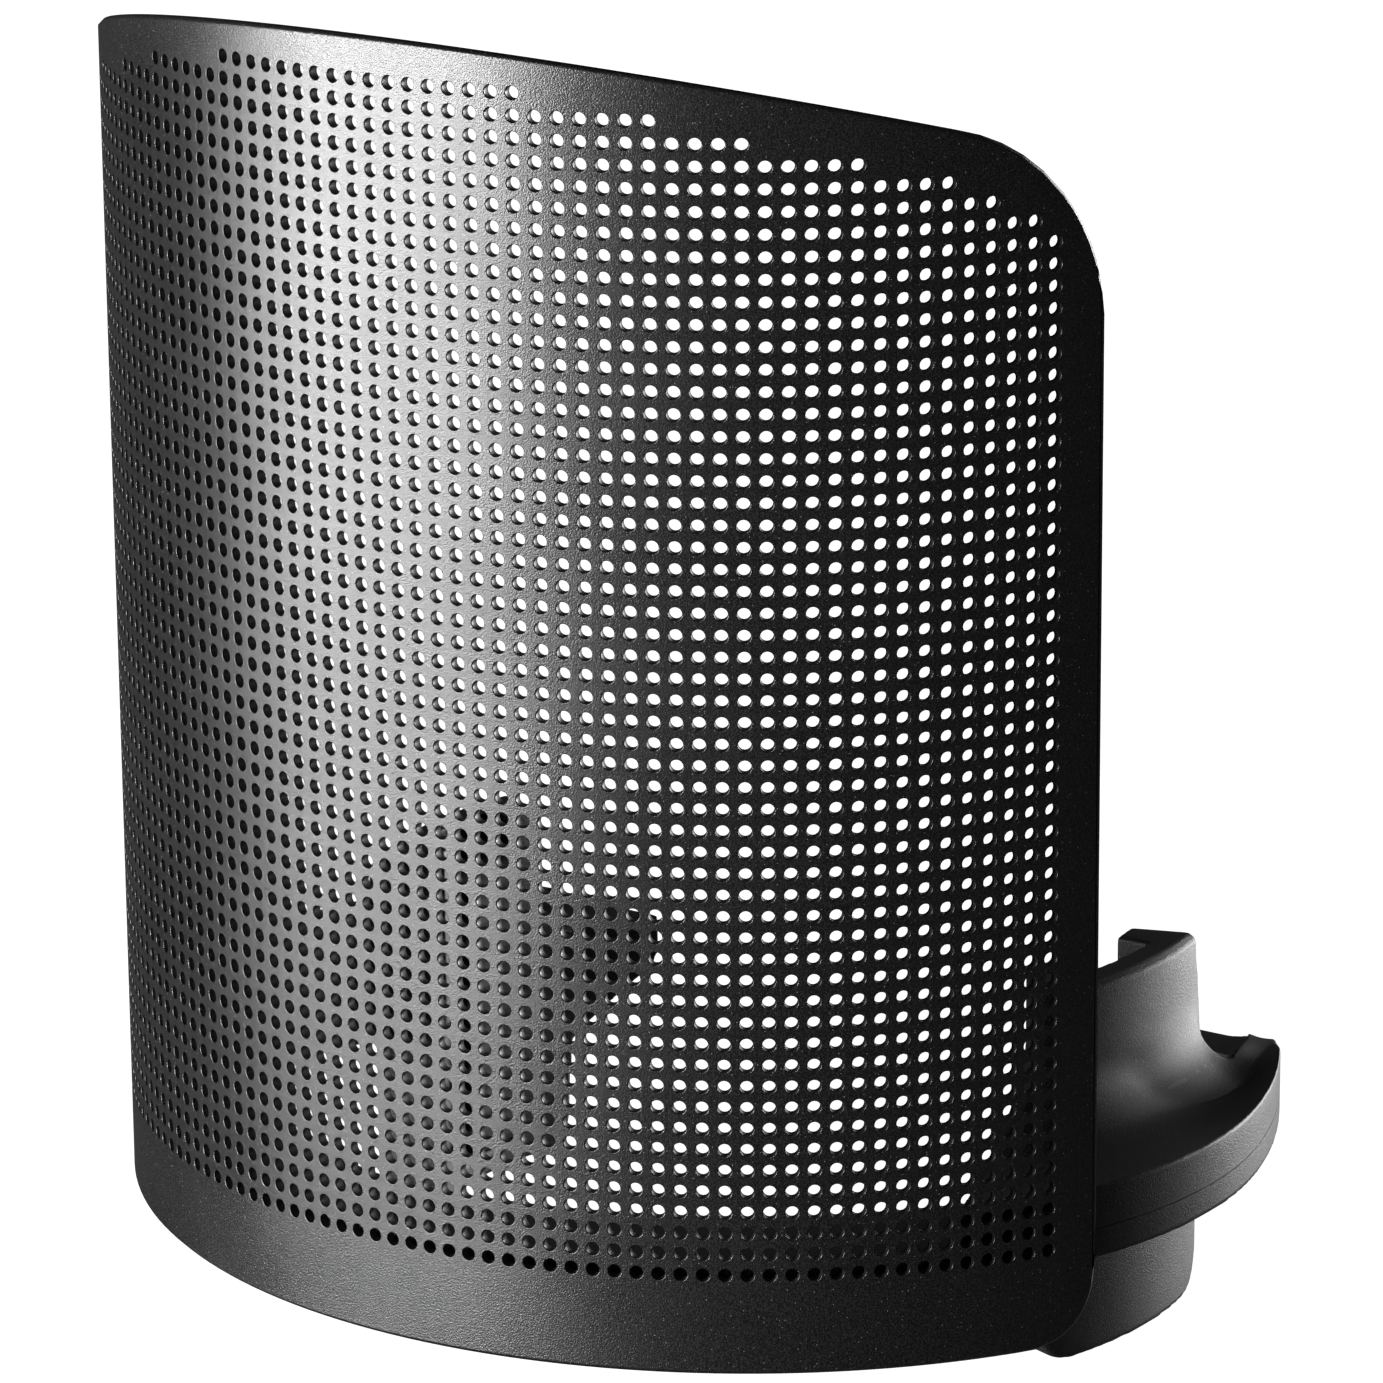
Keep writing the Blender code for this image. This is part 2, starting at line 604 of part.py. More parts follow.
def main():
    for old in list(bpy.data.objects):
        bpy.data.objects.remove(old)
    powder_coat = finish("black_powder_coat", (0.012, 0.012, 0.013), 0.42, 0.0)
    soft_black = finish("soft_black_moulding", (0.020, 0.020, 0.021), 0.72, 0.0)
    pad_rubber = finish("pad_rubber", (0.014, 0.014, 0.014), 0.88, 0.0)
    black_steel = finish("black_zinc_steel", (0.05, 0.05, 0.055), 0.40, 1.0)

    dress(make_screen(), powder_coat)
    right_cheek = make_right_cheek()
    left_cheek = mirrored(right_cheek, "left_cheek")
    right_pad = make_right_pad()
    left_pad = mirrored(right_pad, "left_grip_pad")
    for piece in (right_cheek, left_cheek, make_cradle()):
        dress(piece, soft_black)
    for piece in (right_pad, left_pad):
        dress(piece, pad_rubber)
    for side, angle in BRACKET_ANGLES.items():
        dress(make_bracket(side, angle), black_steel)
    for screw in make_cheek_screws() + make_bracket_screws():
        dress(screw, black_steel)


main()
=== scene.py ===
# %% [markdown]
# # A clip-on pop screen for a studio microphone
# The real object is a curved sheet of perforated steel on a moulded clip. The sheet stands in front
# of the microphone and breaks up bursts of breath, and the clip's two arms spring round its body.
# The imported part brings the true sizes. Here each piece that shows is made again with the detail a
# plain solid leaves out: real holes, softened edges, ribs on the rubber, and finishes with a grain.

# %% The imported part
import math

import bmesh
import bpy
import numpy as np
from mathutils import Matrix, Vector


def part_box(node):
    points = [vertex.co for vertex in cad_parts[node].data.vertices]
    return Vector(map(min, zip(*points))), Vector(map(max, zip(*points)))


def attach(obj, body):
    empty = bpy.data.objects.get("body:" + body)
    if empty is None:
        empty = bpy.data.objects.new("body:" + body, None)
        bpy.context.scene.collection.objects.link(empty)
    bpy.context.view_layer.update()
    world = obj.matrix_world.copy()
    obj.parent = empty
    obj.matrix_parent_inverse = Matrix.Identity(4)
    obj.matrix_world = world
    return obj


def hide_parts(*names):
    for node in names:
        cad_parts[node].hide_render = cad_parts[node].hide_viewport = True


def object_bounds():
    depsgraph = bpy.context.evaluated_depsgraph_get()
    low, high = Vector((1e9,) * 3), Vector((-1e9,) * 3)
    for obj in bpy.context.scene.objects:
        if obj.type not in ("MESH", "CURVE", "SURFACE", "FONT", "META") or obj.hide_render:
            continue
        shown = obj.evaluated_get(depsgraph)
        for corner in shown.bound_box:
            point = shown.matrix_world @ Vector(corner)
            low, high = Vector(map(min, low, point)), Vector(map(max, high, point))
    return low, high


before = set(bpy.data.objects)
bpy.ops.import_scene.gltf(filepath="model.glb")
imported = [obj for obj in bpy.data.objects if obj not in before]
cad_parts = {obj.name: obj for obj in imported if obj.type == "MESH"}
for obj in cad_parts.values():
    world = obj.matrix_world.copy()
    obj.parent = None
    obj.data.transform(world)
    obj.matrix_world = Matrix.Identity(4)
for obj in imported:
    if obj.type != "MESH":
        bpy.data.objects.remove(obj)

cad_low, cad_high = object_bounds()
MM = 0.001
print("packed nodes:", len(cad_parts))
print("packed box in mm:", [round(side / MM, 1) for side in cad_high - cad_low])

# %% [markdown]
# ## The camera
# The picture was taken from the right of the front and a little above, with a long lens, so the
# upright edges stay nearly parallel. A camera's own axes are right, up and backwards, while the turn
# is easier to think of as right, forwards and up, so a quarter turn about the first axis joins them.

# %% Camera
CAMERA_SPOT = Vector((269.6, -394.85, 164.29)) * MM
CAMERA_TURN = 0.6138
CAMERA_TILT = -0.2802
CAMERA_ROLL = 0.0078
CAMERA_LENS = 175.35
SENSOR_WIDTH = 36.0
NEAREST_SEEN = 10.0 * MM

aim = Matrix.Rotation(CAMERA_TURN, 4, "Z") @ Matrix.Rotation(CAMERA_TILT, 4, "X")
aim = aim @ Matrix.Rotation(CAMERA_ROLL, 4, "Y") @ Matrix.Rotation(math.pi / 2, 4, "X")
camera = bpy.data.objects.new("camera", bpy.data.cameras.new("camera"))
camera.data.lens = CAMERA_LENS
camera.data.sensor_width = SENSOR_WIDTH
camera.data.clip_start = NEAREST_SEEN
camera.matrix_world = Matrix.Translation(CAMERA_SPOT) @ aim
bpy.context.scene.collection.objects.link(camera)
bpy.context.scene.camera = camera
print("camera is", round(CAMERA_SPOT.length / MM), "mm from the clip's axis")

# %% [markdown]
# ## Finishes
# Everything here is black, so the finishes differ in how they scatter light. Powder coat has a fine
# pebbled skin with bright specks, the moulding has a drier and finer grain, rubber is the dullest and
# the zinc on the small steel pieces still looks like metal. The grain, the rubbed edges and the dust
# are node groups: they are wired once, and each finish places them with its own values.

# %% Helper for node groups
def node_group(name, inputs, outputs):
    """Makes an empty shader group with number inputs and outputs, and returns it with its two ends."""
    group = bpy.data.node_groups.new(name, "ShaderNodeTree")
    for label, value in inputs.items():
        socket = group.interface.new_socket(name=label, in_out="INPUT", socket_type="NodeSocketFloat")
        socket.default_value = value
    for label in outputs:
        group.interface.new_socket(name=label, in_out="OUTPUT", socket_type="NodeSocketFloat")
    start = group.nodes.new("NodeGroupInput")
    end = group.nodes.new("NodeGroupOutput")
    return group, start, end


def math_node(tree, operation, first, second=None):
    """Adds a math node to a tree. A link or a number may come in on either side."""
    node = tree.nodes.new("ShaderNodeMath")
    node.operation = operation
    for socket, value in zip(node.inputs, (first, second)):
        if isinstance(value, (int, float)):
            socket.default_value = value
        elif value is not None:
            tree.links.new(value, socket)
    return node.outputs[0]


def ramp_node(tree, factor, low, high):
    """Adds a smooth step from 0 at low to 1 at high."""
    node = tree.nodes.new("ShaderNodeMapRange")
    node.interpolation_type = "SMOOTHSTEP"
    node.inputs["From Min"].default_value = low
    node.inputs["From Max"].default_value = high
    tree.links.new(factor, node.inputs["Value"])
    return node.outputs["Result"]

# %% [markdown]
# ### Grain
# A coat or a moulding is never quite even. Small pebbles make its relief, a few bright specks catch
# the light, and wide soft clouds change how glossy it is. Noise gives the pebbles and clouds. The
# specks are the middles of a few cells, picked by the random colour that each cell has.

# %% Grain group
PEBBLE_DETAIL = 1.0
PEBBLE_ROUGHNESS = 0.6
CLOUDS_PER_METRE = 90.0
CLOUD_DETAIL = 4.0
SPECK_PICK = (0.94, 0.97)
SPECK_EDGE = (0.28, 0.14)

grain, start, end = node_group("grain", {"Grains per metre": 9000.0, "Specks per metre": 9000.0},
                               ["Height", "Speck", "Cloud"])
place = grain.nodes.new("ShaderNodeTexCoord").outputs["Object"]
pebble = grain.nodes.new("ShaderNodeTexNoise")
pebble.inputs["Detail"].default_value = PEBBLE_DETAIL
pebble.inputs["Roughness"].default_value = PEBBLE_ROUGHNESS
fleck = grain.nodes.new("ShaderNodeTexVoronoi")
cloud = grain.nodes.new("ShaderNodeTexNoise")
cloud.inputs["Scale"].default_value = CLOUDS_PER_METRE
cloud.inputs["Detail"].default_value = CLOUD_DETAIL
for texture in (pebble, fleck, cloud):
    grain.links.new(place, texture.inputs["Vector"])
grain.links.new(start.outputs["Grains per metre"], pebble.inputs["Scale"])
grain.links.new(start.outputs["Specks per metre"], fleck.inputs["Scale"])
lot = grain.nodes.new("ShaderNodeSeparateColor")
grain.links.new(fleck.outputs["Color"], lot.inputs["Color"])
picked = ramp_node(grain, lot.outputs["Red"], *SPECK_PICK)
dot = ramp_node(grain, fleck.outputs["Distance"], *SPECK_EDGE)
grain.links.new(pebble.outputs["Fac"], end.inputs["Height"])
grain.links.new(math_node(grain, "MULTIPLY", picked, dot), end.inputs["Speck"])
grain.links.new(cloud.outputs["Fac"], end.inputs["Cloud"])
print("grain group has", len(grain.nodes), "nodes")

# %% [markdown]
# ### Rubbed edges and dust
# Handling polishes the edges that stand out, and lint settles on what faces up. Pointiness finds the
# edges, and the upward share of the normal says where lint can lie.

# %% Rubbed edge and dust groups
FLAT_POINTINESS = 0.5
RUB_SPAN = (0.2, 1.0)
LINT_PER_METRE = 2200.0
LINT_DETAIL = 2.0
LINT_SPAN = (0.62, 0.78)
UPWARD_SPAN = (0.2, 0.9)

rubbed, start, end = node_group("rubbed_edge", {"Reach": 0.06}, ["Rub"])
shape = rubbed.nodes.new("ShaderNodeNewGeometry")
past_flat = math_node(rubbed, "SUBTRACT", shape.outputs["Pointiness"], FLAT_POINTINESS)
share = math_node(rubbed, "DIVIDE", past_flat, start.outputs["Reach"])
rubbed.links.new(ramp_node(rubbed, share, *RUB_SPAN), end.inputs["Rub"])

dust, start, end = node_group("dust", {"Amount": 0.3}, ["Dust"])
place = dust.nodes.new("ShaderNodeTexCoord").outputs["Object"]
shape = dust.nodes.new("ShaderNodeNewGeometry")
facing = dust.nodes.new("ShaderNodeSeparateXYZ")
dust.links.new(shape.outputs["Normal"], facing.inputs["Vector"])
lint = dust.nodes.new("ShaderNodeTexNoise")
lint.inputs["Scale"].default_value = LINT_PER_METRE
lint.inputs["Detail"].default_value = LINT_DETAIL
dust.links.new(place, lint.inputs["Vector"])
upward = ramp_node(dust, facing.outputs["Z"], *UPWARD_SPAN)
settled = math_node(dust, "MULTIPLY", ramp_node(dust, lint.outputs["Fac"], *LINT_SPAN), upward)
dust.links.new(math_node(dust, "MULTIPLY", settled, start.outputs["Amount"]), end.inputs["Dust"])
print("groups:", [group.name for group in bpy.data.node_groups])

# %% [markdown]
# ### The four finishes
# A finish mixes a dark and a light grey. Specks, rubbed edges, dust and the crests of the grain pull it
# towards the light one, and the grain's height also bends the normal. The walls of the punched holes
# are rougher than the face of the sheet, so the sheet marks them with a value named hole_wall, and
# every finish adds it to the roughness. Pieces without that mark read it as zero.

# %% Helper for finishes
WALL_ROUGHER = 0.5
CREST_SPAN = (0.40, 0.68)
CLOUD_SPAN = (0.3, 0.7)
LESS_BLUE = 0.97


def finish(name, greys, rough, grains, specks, relief_depth, tint, reach, dusty, metal=0.0, specular=0.5):
    """Builds a finish. greys are its dark and light levels, and rough is the span of its roughness."""
    material = bpy.data.materials.new(name)
    material.use_nodes = True
    tree = material.node_tree
    shader = tree.nodes["Principled BSDF"]
    shader.inputs["Metallic"].default_value = metal
    shader.inputs["Specular IOR Level"].default_value = specular
    effects = {}
    for group, label, value in ((grain, "Grains per metre", grains), (rubbed, "Reach", reach),
                                (dust, "Amount", dusty)):
        node = tree.nodes.new("ShaderNodeGroup")
        node.node_tree = group
        node.inputs[label].default_value = value
        effects[group.name] = node
    effects["grain"].inputs["Specks per metre"].default_value = specks
    pattern = effects["grain"].outputs
    brighter = math_node(tree, "ADD", pattern["Speck"], effects["rubbed_edge"].outputs["Rub"])
    brighter = math_node(tree, "ADD", brighter, effects["dust"].outputs["Dust"])
    crest = ramp_node(tree, pattern["Height"], *CREST_SPAN)
    brighter = math_node(tree, "ADD", brighter, math_node(tree, "MULTIPLY", crest, tint))
    dark, light = greys
    shade = tree.nodes.new("ShaderNodeMix")
    shade.data_type = "RGBA"
    shade.inputs["A"].default_value = (dark, dark, dark, 1.0)
    shade.inputs["B"].default_value = (light, light, light * LESS_BLUE, 1.0)
    tree.links.new(brighter, shade.inputs["Factor"])
    tree.links.new(shade.outputs["Result"], shader.inputs["Base Color"])
    span = tree.nodes.new("ShaderNodeMapRange")
    for label, value in zip(("From Min", "From Max", "To Min", "To Max"), (*CLOUD_SPAN, *rough)):
        span.inputs[label].default_value = value
    tree.links.new(pattern["Cloud"], span.inputs["Value"])
    wall = tree.nodes.new("ShaderNodeAttribute")
    wall.attribute_name = "hole_wall"
    rougher = math_node(tree, "MULTIPLY", wall.outputs["Fac"], WALL_ROUGHER)
    tree.links.new(math_node(tree, "ADD", span.outputs["Result"], rougher), shader.inputs["Roughness"])
    relief = tree.nodes.new("ShaderNodeBump")
    relief.inputs["Distance"].default_value = relief_depth
    tree.links.new(pattern["Height"], relief.inputs["Height"])
    tree.links.new(relief.outputs["Normal"], shader.inputs["Normal"])
    return material

# %% Coat, moulding, rubber and zinc
powder_coat = finish("powder_coat", greys=(0.002, 0.30), rough=(0.28, 0.34),
                     grains=9500.0, specks=7000.0, relief_depth=0.024 * MM,
                     tint=0.07, reach=0.60, dusty=0.05, specular=0.8)
soft_moulding = finish("soft_moulding", greys=(0.008, 0.05), rough=(0.42, 0.50),
                       grains=9000.0, specks=7000.0, relief_depth=0.024 * MM,
                       tint=0.6, reach=0.15, dusty=0.15, specular=0.6)
grip_rubber = finish("grip_rubber", greys=(0.012, 0.04), rough=(0.70, 0.82),
                     grains=5200.0, specks=5000.0, relief_depth=0.015 * MM,
                     tint=0.2, reach=0.12, dusty=0.3)
black_zinc = finish("black_zinc", greys=(0.06, 0.30), rough=(0.30, 0.42),
                    grains=9000.0, specks=9000.0, relief_depth=0.006 * MM,
                    tint=0.1, reach=0.08, dusty=0.1, metal=0.9)
print("finishes:", [coat.name for coat in (powder_coat, soft_moulding, grip_rubber, black_zinc)])

# %% [markdown]
# ## The perforated screen
# The real screen is punched flat, rolled to a curve and coated. A boolean with thousands of pins
# would be slow and rough, and a see-through pattern would have no thickness. So the sheet is laid out
# flat as a grid: every cell with a hole is a ring of faces round a circle, the plain margins are strips
# that end on the sheet's outline, and the finished net is rolled about the screen's axis. The hole
# edges and the sheet's edge get a small slope, with normals given one by one so that it shades as round.

# %% Sizes of the screen
SCREEN_AXIS = Vector((0.0, -4.4, 0.0)) * MM
SCREEN_RADIUS = 46.25 * MM
SCREEN_SHEET = 0.8 * MM
SCREEN_HALF_ANGLE = 65.04
SCREEN_HALF = SCREEN_RADIUS * math.radians(SCREEN_HALF_ANGLE)
SCREEN_TOP = 83.7 * MM
SCREEN_LOW = -7.5 * MM
TOP_SLOPE_ANGLE = 17.3
TOP_SLOPE = math.tan(math.radians(TOP_SLOPE_ANGLE))
TOP_CORNER = 10.0 * MM
LOW_CORNER = 5.0 * MM
HOLE_RADIUS = 0.46 * MM
HOLE_SIDES = 16
HOLE_EDGE = 0.07 * MM
SHEET_EDGE = 0.36 * MM
COLUMN_TURN = 0.0329
COLUMN_PITCH = SCREEN_RADIUS * COLUMN_TURN
ROW_PITCH = 1.5 * MM
FIRST_ROW_HIGH = 80.775 * MM
ROWS = 55
ROW_REACH = (8, 14, 18, 23, 27, 29, 31)
LAST_COLUMN = 32


def corner_drop(distance, radius):
    """How far a rounded corner falls away at a distance from the side."""
    if distance >= radius:
        return 0.0
    return radius - math.sqrt(max(radius ** 2 - (radius - distance) ** 2, 0.0))


def sheet_top(along):
    """Height of the screen's arched top edge at an arc length from its middle."""
    setback = SCREEN_RADIUS * (1.0 - math.cos(along / SCREEN_RADIUS))
    return SCREEN_TOP - setback * TOP_SLOPE - corner_drop(SCREEN_HALF - abs(along), TOP_CORNER)


def sheet_low(along):
    """Height of the screen's bottom edge at an arc length from its middle."""
    return SCREEN_LOW + corner_drop(SCREEN_HALF - abs(along), LOW_CORNER)


def first_row(column):
    """Number of the topmost row that reaches this column."""
    return sum(1 for reach in ROW_REACH if abs(column) > reach)


holes = sum(ROWS - first_row(column) for column in range(-LAST_COLUMN, LAST_COLUMN + 1))
print("screen has", holes, "holes on", ROWS, "rows")

# %% [markdown]
# ### The flat net
# Upright lines run between the columns of holes, and levels run between the rows. Each line is a list
# of named spots from the bottom edge to the top edge, so that two neighbouring strips share the same
# spots and the net has no gaps.

# %% Upright lines and levels of the net
MARGIN_SHARES = (0.25, 0.47, 0.67, 0.82, 0.92, 0.975, 1.0)
EDGE_ROOM = SHEET_EDGE * 2

levels = [FIRST_ROW_HIGH + ROW_PITCH / 2 - row * ROW_PITCH for row in range(ROWS + 1)]
hole_lines = [(line - LAST_COLUMN - 0.5) * COLUMN_PITCH for line in range(2 * LAST_COLUMN + 2)]
margin = SCREEN_HALF - hole_lines[-1]
outer_lines = [hole_lines[-1] + share * margin for share in MARGIN_SHARES]
lines = [-along for along in reversed(outer_lines)] + hole_lines + outer_lines
first_hole_line = len(outer_lines)
last_hole_line = first_hole_line + len(hole_lines) - 1


def start_level(strip):
    """Number of the level on top of the first hole in the strip to the right of a line."""
    return first_row(strip - first_hole_line - LAST_COLUMN)


def line_level(line):
    """Number of the highest level that a line of holes needs."""
    strips = [strip for strip in (line - 1, line) if first_hole_line <= strip < last_hole_line]
    return min(start_level(strip) for strip in strips)


def line_spots(line):
    """Named spots on an upright line, from the bottom edge to the top edge."""
    along = lines[line]
    low, top = sheet_low(along), sheet_top(along)
    spots = [(("low", line), low)]
    if first_hole_line <= line <= last_hole_line:
        spots.append((("corner", line, ROWS), levels[ROWS]))
        for level in range(ROWS - 1, line_level(line) - 1, -1):
            spots.append((("upright", line, level), levels[level] - ROW_PITCH / 2))
            spots.append((("corner", line, level), levels[level]))
    else:
        for level in range(ROWS, -1, -1):
            if low + EDGE_ROOM < levels[level] < top - EDGE_ROOM:
                spots.append((("corner", line, level), levels[level]))
    spots.append((("top", line), top))
    return spots


net = [line_spots(line) for line in range(len(lines))]
spot_at = {name: (lines[line], height) for line, spots in enumerate(net) for name, height in spots}
print("net has", len(lines), "upright lines and", len(spot_at), "spots")

# %% Faces of the net
LEVEL_PLAY = ROW_PITCH / 10


def ring_name(strip, row, turn):
    """Name of one point on the ring round a hole."""
    return ("ring", strip, row, turn % HOLE_SIDES)


def hole_middle(strip, row):
    """Arc length and height of a hole's middle."""
    return lines[strip] + COLUMN_PITCH / 2, levels[row] - ROW_PITCH / 2


def hole_cell(strip, row):
    """Faces that fill one cell round its hole, as lists of named spots."""
    right = strip + 1
    border = [("upright", right, row), ("corner", right, row), ("level", strip, row), ("corner", strip, row),
              ("upright", strip, row), ("corner", strip, row + 1), ("level", strip, row + 1),
              ("corner", right, row + 1)]
    faces = []
    for side in range(len(border)):
        ring = [ring_name(strip, row, 2 * side + step) for step in (2, 1, 0)]
        faces.append([border[side], border[(side + 1) % len(border)]] + ring)
    return faces


def zipped(left, right):
    """Faces that close the strip between two lines of spots."""
    faces = []
    low, high = 0, 0
    while low < len(left) - 1 or high < len(right) - 1:
        climb_left = low < len(left) - 1
        climb_right = high < len(right) - 1
        if climb_left and climb_right and low and high:
            gap = left[low + 1][1] - right[high + 1][1]
            climb_left = gap < LEVEL_PLAY
            climb_right = gap > -LEVEL_PLAY
        face = [left[low][0], right[high][0]]
        if climb_right:
            high += 1
            face.append(right[high][0])
        if climb_left:
            low += 1
            face.append(left[low][0])
        faces.append(face)
    return faces


def hole_strip(strip):
    """Faces of a strip of holes with its plain bottom and top."""
    top_level = start_level(strip)
    right = strip + 1
    faces = [[("low", strip), ("low", right), ("corner", right, ROWS), ("level", strip, ROWS),
              ("corner", strip, ROWS)]]
    for row in range(top_level, ROWS):
        faces += hole_cell(strip, row)
    above_left = [name for name, height in net[strip] if height > levels[top_level] + HOLE_EDGE]
    above_right = [name for name, height in net[right] if height > levels[top_level] + HOLE_EDGE]
    base = [("corner", strip, top_level), ("level", strip, top_level), ("corner", right, top_level)]
    faces.append(base + above_right + above_left[::-1])
    return faces


net_faces = []
for strip in range(len(lines) - 1):
    if first_hole_line <= strip < last_hole_line:
        for row in range(start_level(strip), ROWS + 1):
            spot_at[("level", strip, row)] = (lines[strip] + COLUMN_PITCH / 2, levels[row])
        net_faces += hole_strip(strip)
    else:
        net_faces += zipped(net[strip], net[strip + 1])
print("flat net has", len(net_faces), "faces on each side")

# %% [markdown]
# ### Rolling the net
# The flat net is rolled twice, once for the front and once for the back of the sheet. Each hole then
# gets a wall between its two rings, and the outline gets an edge that runs all the way round.

# %% Front and back of the sheet
FACES = {"front": (0.0, 1.0), "back": (SCREEN_SHEET, -1.0)}

rolled_spots = []
rolled_normals = []


def roll(along, height, depth, lean):
    """Adds a point of the flat sheet to the rolled one. lean is its normal: along, up, outwards."""
    angle = along / SCREEN_RADIUS
    out = Vector((math.sin(angle), -math.cos(angle), 0.0))
    side = Vector((math.cos(angle), math.sin(angle), 0.0))
    rolled_spots.append(SCREEN_AXIS + out * (SCREEN_RADIUS - depth) + Vector((0.0, 0.0, height)))
    rolled_normals.append(side * lean[0] + Vector((0.0, 0.0, lean[1])) + out * lean[2])
    return len(rolled_spots) - 1


def outline_names():
    """Named spots round the sheet's edge, anticlockwise as seen from the front."""
    last = len(lines) - 1
    names = [("low", line) for line in range(len(lines))]
    names += [name for name, height in net[last][1:-1]]
    names += [("top", line) for line in range(last, -1, -1)]
    names += [name for name, height in net[0][-2:0:-1]]
    return names


rim = outline_names()
rim_lean = {}
for number, name in enumerate(rim):
    before = Vector(spot_at[rim[number - 1]])
    after = Vector(spot_at[rim[(number + 1) % len(rim)]])
    run = (after - before).normalized()
    rim_lean[name] = (run.y, -run.x)

number_of = {}
for face, (depth, facing) in FACES.items():
    for name, (along, height) in spot_at.items():
        lean = rim_lean.get(name, (0.0, 0.0))
        number_of[face, name] = roll(along - SHEET_EDGE * lean[0], height - SHEET_EDGE * lean[1],
                                      depth, (0.0, 0.0, facing))
print("both faces have", len(rolled_spots), "points, with", len(rim), "on the outline")

# %% Walls of the holes and the sheet's edge
RING_REACH = HOLE_RADIUS + HOLE_EDGE
WALL_DEPTHS = (HOLE_EDGE, SCREEN_SHEET - HOLE_EDGE)


def hole_loops(strip, row):
    """Four rings of points through one hole, from the front of the sheet to its back."""
    along, height = hole_middle(strip, row)
    rings = [[], [], [], []]
    for number in range(HOLE_SIDES):
        turn = 2.0 * math.pi * number / HOLE_SIDES
        across, up = math.cos(turn), math.sin(turn)
        name = ring_name(strip, row, number)
        for face, (depth, facing) in FACES.items():
            number_of[face, name] = roll(along + RING_REACH * across, height + RING_REACH * up,
                                         depth, (0.0, 0.0, facing))
        rings[0].append(number_of["front", name])
        for ring, depth in zip(rings[1:3], WALL_DEPTHS):
            ring.append(roll(along + HOLE_RADIUS * across, height + HOLE_RADIUS * up,
                             depth, (-across, -up, 0.0)))
        rings[3].append(number_of["back", name])
    return rings


loops = []
for strip in range(first_hole_line, last_hole_line):
    for row in range(start_level(strip), ROWS):
        loops.append(hole_loops(strip, row))
wall_points = [number for rings in loops for number in rings[2]]

edge_loops = [[number_of["front", name] for name in reversed(rim)], [], [], []]
for name in reversed(rim):
    lean = (*rim_lean[name], 0.0)
    edge_loops[1].append(roll(*spot_at[name], SHEET_EDGE, lean))
    edge_loops[2].append(roll(*spot_at[name], SCREEN_SHEET - SHEET_EDGE, lean))
    edge_loops[3].append(number_of["back", name])
loops.append(edge_loops)
print("walls and edge bring it to", len(rolled_spots), "points")

# %% Helpers that place and test a piece
def placed(name, mesh, material, slot, *nodes):
    """Puts a mesh in the scene as a piece on the part's one body, in place of the nodes it stands for."""
    piece = bpy.data.objects.new(name, mesh)
    bpy.context.scene.collection.objects.link(piece)
    mesh.materials.clear()
    mesh.materials.append(material)
    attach(piece, "root")
    if nodes:
        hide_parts(*nodes)
    print(name, "has", len(mesh.polygons), "faces")
    return piece


def open_edges(mesh):
    """Counts the edges of a mesh that don't join exactly two faces."""
    shape = bmesh.new()
    shape.from_mesh(mesh)
    count = sum(1 for edge in shape.edges if not edge.is_manifold)
    shape.free()
    return count

# %% The finished sheet
rolled_faces = []
for names in net_faces:
    rolled_faces.append([number_of["front", name] for name in names])
    rolled_faces.append([number_of["back", name] for name in reversed(names)])
for rings in loops:
    for outer, inner in zip(rings, rings[1:]):
        for number in range(len(outer)):
            after = (number + 1) % len(outer)
            rolled_faces.append([outer[number], outer[after], inner[after], inner[number]])

sheet_mesh = bpy.data.meshes.new("screen_sheet")
sheet_mesh.from_pydata(rolled_spots, [], rolled_faces)
sheet_mesh.shade_smooth()
hole_wall = sheet_mesh.attributes.new("hole_wall", "FLOAT", "POINT")
for number in wall_points:
    hole_wall.data[number].value = 1.0
sheet_mesh.normals_split_custom_set_from_vertices(rolled_normals)
placed("screen_sheet", sheet_mesh, powder_coat, "screen_coat", "perforated_screen")
print("open edges on the screen:", open_edges(sheet_mesh))

# %% [markdown]
# ## The moulded clip
# Two cheeks with upright walls sit on one cradle, and a fine parting line runs between them. On the
# real moulding every edge is a little round. A bevel would stumble over the many short edges left by
# the solids' cuts, so each solid is wrapped in an even skin of small squares, and the skin is relaxed:
# each point moves towards its neighbours a few times, which rounds the edges and leaves broad faces
# where they were. The parting line has to stay crisp, so each solid is first made taller there, and
# the spare height is cut off flat at the end.

# %% Helpers that copy a solid and wrap it in a skin
TOUCH = MM / 1000
PARTING_PLAY = 0.13 * MM


def merged_copy(node, spare=0.0):
    """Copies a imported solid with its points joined, and moves its face at the parting line."""
    shape = bmesh.new()
    shape.from_mesh(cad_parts[node].data)
    bmesh.ops.remove_doubles(shape, verts=shape.verts, dist=TOUCH)
    for vert in shape.verts:
        if spare and abs(vert.co.z) < PARTING_PLAY:
            vert.co.z = spare
    mesh = bpy.data.meshes.new(node + "_copy")
    shape.to_mesh(mesh)
    shape.free()
    return mesh


def carried(name, mesh):
    """Hangs a mesh on an object in the scene, so that modifiers can work on it."""
    carrier = bpy.data.objects.new(name, mesh)
    bpy.context.scene.collection.objects.link(carrier)
    return carrier


def applied(carrier):
    """Mesh of an object after its modifiers. The object itself is taken away."""
    mesh = bpy.data.meshes.new_from_object(carrier.evaluated_get(bpy.context.evaluated_depsgraph_get()))
    bpy.data.objects.remove(carrier)
    return mesh


def skinned(mesh, square):
    """Wraps a closed mesh in an even skin of squares."""
    carrier = carried("carrier", mesh)
    wrap = carrier.modifiers.new("wrap", "REMESH")
    wrap.mode = "VOXEL"
    wrap.voxel_size = square
    return applied(carrier)

# %% Helpers that relax a skin and cut it level
RELAX_SHARE = 0.5


